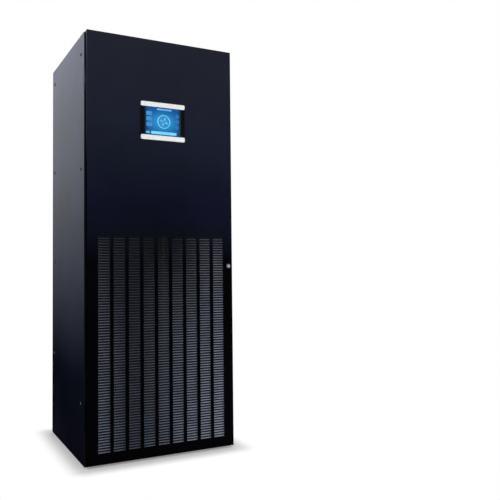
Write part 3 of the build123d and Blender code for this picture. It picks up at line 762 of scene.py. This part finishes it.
count += screw_set("cover_screws", cover_places, "front", "cabinet", "zinc_steel")
print("screws", count)

# %% [markdown]
# Behind the door each hinge leaf is held by countersunk screws, nearly flush, because the two leaves
# close to within three millimetres. The same head serves, pressed flatter.

# %% Hinge screws
leaf_x, leaf_steps = -0.331, (0.014, 0.056, 0.098)
for level, foot in (("lower", 0.150), ("upper", 1.588)):
    for body, side, leaf_y in (("cabinet", "front", -0.2955), ("door", "rear", -0.2985)):
        places = [(leaf_x, leaf_y, foot + step) for step in leaf_steps]
        screw_set("hinge_screws_" + body + "_" + level, places, side, body, "zinc_steel", 0.8, 0.18)

# %% Screws of the display's rear box
low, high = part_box("display_housing")
inset = 0.009
corners = [(x, high.y, z) for x in (low.x + inset, high.x - inset)
           for z in (low.z + inset, high.z - inset)]
screw_set("housing_screws", corners, "rear", "door", "frame_black", 0.7, 0.6)
print("box screws", len(corners))

# %% [markdown]
# Heavier parts inside are bolted. A hexagon bolt head is a six-sided prism whose top corners are turned
# off round, on a round washer. The chamfer comes from a bevel of the top rim.

# %% Model the bolt
across_flats, bolt_height, washer_height, washer_radius = 0.010, 0.0045, 0.0012, 0.0085
bolt = primitive(bpy.ops.mesh.primitive_cylinder_add, vertices=6, radius=across_flats / math.sqrt(3),
                 depth=bolt_height, location=(0, 0, washer_height + bolt_height / 2))
start(bolt)
pick_edges(bolt, lambda a, b: min(a.z, b.z) > bolt_height)
bpy.ops.mesh.bevel(offset=0.0006, segments=2, affect="EDGES")
bpy.ops.mesh.select_mode(type="FACE")
pick_faces(bolt, lambda normal: normal.z > 0.99)
bpy.ops.mesh.inset(thickness=0.0008, depth=0.0)
bpy.ops.transform.translate(value=(0, 0, 0.0003))
done(bolt)
washer = primitive(bpy.ops.mesh.primitive_cylinder_add, vertices=20, radius=washer_radius,
                   depth=washer_height, location=(0, 0, washer_height / 2))
start(washer)
pick_edges(washer, lambda a, b: min(a.z, b.z) > washer_height * 0.9)
bpy.ops.mesh.bevel(offset=0.0004, segments=2, affect="EDGES")
done(washer)
bolt = join([bolt, washer], "bolt_master")
print("bolt", len(bolt.data.polygons), "faces")

# %% Place the bolts
fan_y = 0.080
ring_top, foot_top, beam_floor, flange_top = 1.402, 1.405, 1.643, 1.852
bolt_circle = 0.1525
ring = [(bolt_circle * math.cos(a), fan_y + bolt_circle * math.sin(a), ring_top)
        for a in (math.radians(22.5 + 45 * i) for i in range(8))]
screw_set("ring_bolts", ring, "up", "cabinet", "zinc_steel", 0.8, 0.8, bolt)
feet = [(x, fan_y + y, foot_top) for x in (-0.247, 0.247) for y in (-0.018, 0.018)]
screw_set("foot_bolts", feet, "up", "cabinet", "zinc_steel", 1.0, 1.0, bolt)
hung = [(x, fan_y + y, beam_floor) for x in (-0.040, 0.040) for y in (-0.015, 0.015)]
screw_set("motor_bolts", hung, "up", "cabinet", "zinc_steel", 1.0, 1.0, bolt)
collar = [(x, fan_y + y, flange_top) for x in (-0.246, 0.246) for y in (-0.10, 0.10)]
collar += [(x, fan_y + y, flange_top) for x in (-0.12, 0.12) for y in (-0.196, 0.196)]
screw_set("collar_screws", collar, "up", "cabinet", "zinc_steel")
print("bolts", len(ring) + len(feet) + len(hung), "collar screws", len(collar))

# %% [markdown]
# The motor sheds its heat through upright fins on its shell. One fin is a thin block whose outer edge is
# drawn in and rounded, set round the shell at even steps, and the whole ring is one piece.

# %% Motor fins
motor_low, motor_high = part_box("fan_motor")
shell_radius = (motor_high.x - motor_low.x) / 2
fin_low, fin_high, fin_reach, fin_count = motor_low.z + 0.010, motor_high.z - 0.012, 0.006, 30
fin = primitive(bpy.ops.mesh.primitive_cube_add, size=1.0,
                location=(shell_radius + fin_reach / 2 - 0.0005, 0, (fin_low + fin_high) / 2),
                scale=(fin_reach + 0.001, 0.0032, fin_high - fin_low))
start(fin)
pick_faces(fin, lambda normal: normal.x > 0.9)
bpy.ops.transform.resize(value=(1.0, 0.5, 0.86))
pick_edges(fin, lambda a, b: min(a.x, b.x) > shell_radius + fin_reach * 0.8)
bpy.ops.mesh.bevel(offset=0.0006, segments=2, affect="EDGES")
done(fin)
fins = []
for i in range(fin_count):
    angle = math.radians(360 / fin_count * i + 6)
    turn = Matrix.Translation((0, fan_y, 0)) @ Matrix.Rotation(angle, 4, "Z")
    fins.append(copy_to(fin, "motor_fin_part", turn))
bpy.data.objects.remove(fin, do_unlink=True)
dress(join(fins, "motor_fins"), "cabinet", "motor_grey")
print("fins", len(fins))

# %% [markdown]
# The screen shows a made-up page: a round gauge with a fan at its heart, a column of tiles, a few round
# keys and a bright bar. It could be a picture, but thin raised shapes stay sharp at any distance.
# Each shape starts from a plain primitive, gets its corners bevelled, and is pressed to a thin film.

# %% Light for the tiles
def lit(name, one_colour, other_colour, scale):
    """Glowing film whose colour drifts a little over its width."""
    material, tree, point, surface = new_finish(name, Base_Color=(0.003, 0.006, 0.012, 1),
                                                Roughness=0.2, Emission_Strength=1.0,
                                                Specular_IOR_Level=0.06)
    cloud = add(tree, "TexNoise", {"Vector": point, "Scale": scale, "Detail": 2.0}).outputs["Fac"]
    glow = blend_colour(tree, ramp(tree, cloud, 0.35, 0.65), one_colour, other_colour)
    tree.links.new(glow, surface["Emission Color"])
    finishes[name] = material


lit("tile_blue", colour(54, 126, 194), colour(70, 150, 210), 30.0)
lit("tile_cyan", colour(92, 200, 244), colour(132, 220, 248), 24.0)
lit("tile_pale", colour(132, 196, 242), colour(96, 172, 226), 12.0)

# %% Model the tiles
screen_low, screen_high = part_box("display_screen")
screen_x = (screen_low.x + screen_high.x) / 2
screen_z = (screen_low.z + screen_high.z) / 2
glass_y = screen_low.y
film = 0.0003


def film_plate(name, x, z, width, height, corner):
    """Thin plate with round corners on the glass, its middle sunk to leave a rim."""
    plate = primitive(bpy.ops.mesh.primitive_cube_add, size=1.0,
                      location=(screen_x + x, glass_y - film / 2, screen_z + z),
                      scale=(width, film, height))
    plate.name = name
    start(plate)
    pick_edges(plate, lambda a, b: abs(a.y - b.y) > film / 2)
    bpy.ops.mesh.bevel(offset=corner, segments=4, affect="EDGES")
    bpy.ops.mesh.select_mode(type="FACE")
    pick_faces(plate, lambda normal: normal.y < -0.9)
    bpy.ops.mesh.inset(thickness=corner * 0.35, depth=0.0)
    bpy.ops.transform.translate(value=(0, film * 0.6, 0))
    return done(plate)


def film_ring(name, x, z, radius, width, sides):
    """Thin flat ring on the glass."""
    ring = primitive(bpy.ops.mesh.primitive_cylinder_add, vertices=sides, radius=radius, depth=film,
                     location=(screen_x + x, glass_y - film / 2, screen_z + z),
                     rotation=(math.radians(90), 0, 0))
    ring.name = name
    start(ring)
    pick_faces(ring, lambda normal: abs(normal.y) > 0.9)
    bpy.ops.mesh.inset(thickness=width, depth=0.0)
    bpy.ops.mesh.bridge_edge_loops()
    return done(ring)


gauge_x, gauge_radius = 0.004, 0.031
gauge = film_ring("gauge_ring", gauge_x, 0.000, gauge_radius, 0.0042, 48)
dress(gauge, "door", "tile_cyan")
print("gauge", len(gauge.data.polygons), "faces")

blade = film_plate("gauge_blade", 0.0, 0.0, 0.0075, 0.0145, 0.0036)
hub = Vector((screen_x + gauge_x, 0, screen_z))
off_hub = Matrix.Translation((gauge_x, 0, 0.0125))
blades = []
for i in range(4):
    turn = (Matrix.Translation(hub) @ Matrix.Rotation(math.radians(90 * i + 20), 4, "Y")
            @ Matrix.Translation(-hub) @ off_hub)
    blades.append(copy_to(blade, "gauge_blade_part", turn))
dress(join(blades, "gauge_fan"), "door", "tile_pale")
bpy.data.objects.remove(blade, do_unlink=True)

column = [film_plate("tile_part", -0.066, z, 0.027, 0.0185, 0.003) for z in (0.033, 0.009, -0.015)]
dress(join(column, "left_tiles"), "door", "tile_blue")
keys = [film_ring("key_part", 0.070, z, 0.0075, 0.0024, 24) for z in (0.030, 0.005, -0.020)]
dress(join(keys, "right_keys"), "door", "tile_blue")
dress(film_plate("status_bar", 0.004, -0.0515, 0.122, 0.0125, 0.003), "door", "tile_cyan")
dress(film_plate("corner_tile", -0.072, -0.0515, 0.018, 0.0095, 0.003), "door", "tile_pale")
dress(film_plate("title_bar", 0.006, 0.0545, 0.070, 0.0065, 0.002), "door", "tile_pale")

# %% [markdown]
# The first screw and the first bolt were only patterns, so they go.

# %% Tidy up and finish
bpy.data.objects.remove(screw, do_unlink=True)
bpy.data.objects.remove(bolt, do_unlink=True)
